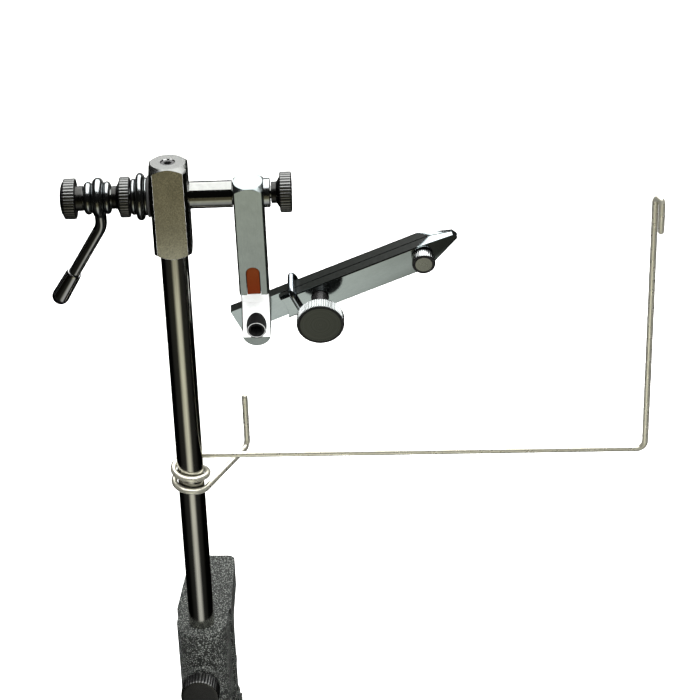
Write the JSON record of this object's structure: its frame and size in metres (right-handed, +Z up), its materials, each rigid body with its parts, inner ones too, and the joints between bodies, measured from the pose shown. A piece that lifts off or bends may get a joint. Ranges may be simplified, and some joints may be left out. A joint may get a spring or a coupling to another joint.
{
  "type": "fly tying vise",
  "caption": "Rotary fly tying vise: hook jaws on an offset arm turn about a cranked shaft, on a post with a bobbin cradle and a table clamp.",
  "frame": {"origin": "on the clamp's face that rests on the table top, on the clamp screw's axis", "axes": "+Z up along the post, +X along the rotary shaft from crank to jaws, +Y from the tyer towards the table clamp's screw"},
  "size_m": [0.2121, 0.0645, 0.3125],
  "materials": {
    "hammertone": "grey hammertone paint",
    "black_oxide": "satin black oxide",
    "zinc_steel": "zinc plated steel",
    "pad_steel": "turned steel",
    "black_plastic": "moulded",
    "black_rubber": "soft",
    "block_steel": "vertically brushed",
    "brass": "turned",
    "shaft_chrome": "polished",
    "ring_steel": "turned and polished",
    "friction_fibre": "matte",
    "knurled_steel": "straight knurl, dark",
    "black_gloss": "gloss black",
    "arm_steel": "satin ground",
    "red_fibre": "vulcanised fibre",
    "jaw_steel": "ground",
    "wire_steel": "drawn wire"
  },
  "bodies": {
    "clamp": {"clamp_body": "hammertone"},
    "post_lock": {"post_lock_screw": "black_oxide"},
    "clamp_pad": {"clamp_pad": "pad_steel"},
    "clamp_screw": {"clamp_screw": "zinc_steel"},
    "tommy_bar": {"tommy_bar": "zinc_steel", "tommy_bar_caps": "black_plastic"},
    "post": {"post": "black_oxide", "head_block": "block_steel", "drag_set_screw": "black_oxide", "drag_plug": "brass", "post_set_screw": "black_oxide"},
    "cradle": {"bobbin_cradle": "wire_steel"},
    "rotor": {"rotary_shaft": "shaft_chrome", "friction_washer": "friction_fibre", "inner_drag_ring": "ring_steel", "large_drag_ring": "ring_steel", "outer_drag_ring": "ring_steel", "crank_inner_ring": "ring_steel", "crank": "black_gloss", "crank_outer_ring": "ring_steel", "crank_grip": "black_rubber"},
    "drag_knob": {"drag_knob": "knurled_steel"},
    "crank_lock_knob": {"crank_lock_knob": "knurled_steel"},
    "arm": {"arm": "arm_steel", "slot_insert": "red_fibre", "arm_washer": "ring_steel", "pivot_screw": "black_oxide"},
    "arm_lock_knob": {"arm_lock_knob": "knurled_steel"},
    "rear_jaw": {"rear_jaw": "jaw_steel"},
    "front_jaw": {"front_jaw": "jaw_steel", "jaw_spring_ring": "black_rubber"},
    "jaw_knob": {"jaw_knob": "knurled_steel"},
    "jaw_adjust_knob": {"jaw_adjust_knob": "knurled_steel"}
  },
  "joints": [
    {"name": "post_height", "type": "slide", "parent": "clamp", "child": "post", "axis": [0, 0, 1], "range_m": [-0.04, 0.015]},
    {"name": "post_lock_turn", "type": "hinge", "parent": "clamp", "child": "post_lock", "pos_m": [-0.00173, -0.03095, -0.008], "axis": [-0.0558, -0.9984, 0], "range_deg": [-360, 45]},
    {"name": "pad_travel", "type": "slide", "parent": "clamp", "child": "clamp_pad", "axis": [0, 0, 1], "range_m": [-0.0115, 0.0275]},
    {"name": "screw_turn", "type": "hinge", "parent": "clamp_pad", "child": "clamp_screw", "pos_m": [0, 0, -0.034], "axis": [0, 0, 1], "range_deg": [-2589, 6189]},
    {"name": "bar_slide", "type": "slide", "parent": "clamp_screw", "child": "tommy_bar", "axis": [0.9984, -0.0558, 0], "range_m": [-0.02, 0.02]},
    {"name": "cradle_swing", "type": "hinge", "parent": "post", "child": "cradle", "pos_m": [-0.00173, -0.03095, 0.0824], "axis": [0, 0, 1], "continuous": true},
    {"name": "shaft_spin", "type": "hinge", "parent": "post", "child": "rotor", "pos_m": [-0.00173, -0.03095, 0.19], "axis": [1, 0, 0], "continuous": true},
    {"name": "drag_knob_turn", "type": "hinge", "parent": "rotor", "child": "drag_knob", "pos_m": [-0.00173, -0.03095, 0.19], "axis": [1, 0, 0], "range_deg": [-360, 30]},
    {"name": "crank_lock_turn", "type": "hinge", "parent": "rotor", "child": "crank_lock_knob", "pos_m": [-0.00173, -0.03095, 0.19], "axis": [1, 0, 0], "range_deg": [-360, 30]},
    {"name": "arm_swing", "type": "hinge", "parent": "rotor", "child": "arm", "pos_m": [-0.00173, -0.03095, 0.19], "axis": [1, 0, 0], "continuous": true},
    {"name": "arm_lock_turn", "type": "hinge", "parent": "arm", "child": "arm_lock_knob", "pos_m": [-0.00173, -0.03095, 0.19], "axis": [1, 0, 0], "range_deg": [-360, 30]},
    {"name": "jaw_tilt", "type": "hinge", "parent": "arm", "child": "rear_jaw", "pos_m": [0.02477, -0.02214, 0.13561], "axis": [0, -0.9871, -0.1599], "range_deg": [-45, 14]},
    {"name": "jaw_knob_turn", "type": "hinge", "parent": "rear_jaw", "child": "jaw_knob", "pos_m": [0.04751, -0.02356, 0.14439], "axis": [0, 0.9871, 0.1599], "range_deg": [0, 374]},
    {"name": "jaw_close", "type": "hinge", "parent": "rear_jaw", "child": "front_jaw", "pos_m": [0.08346, -0.0233, 0.16152], "axis": [-0.4019, -0.1464, 0.9039], "range_deg": [0, 1.2]},
    {"name": "adjust_knob_turn", "type": "hinge", "parent": "rear_jaw", "child": "jaw_adjust_knob", "pos_m": [0.08386, -0.02611, 0.16014], "axis": [0, 0.9871, 0.1599], "range_deg": [-180, 30]}
  ],
  "couplings": [
    {"joint": "screw_turn", "follows": "pad_travel", "rad_per_m": 3927},
    {"joint": "jaw_close", "follows": "jaw_knob_turn", "ratio": 0.0032072}
  ]
}
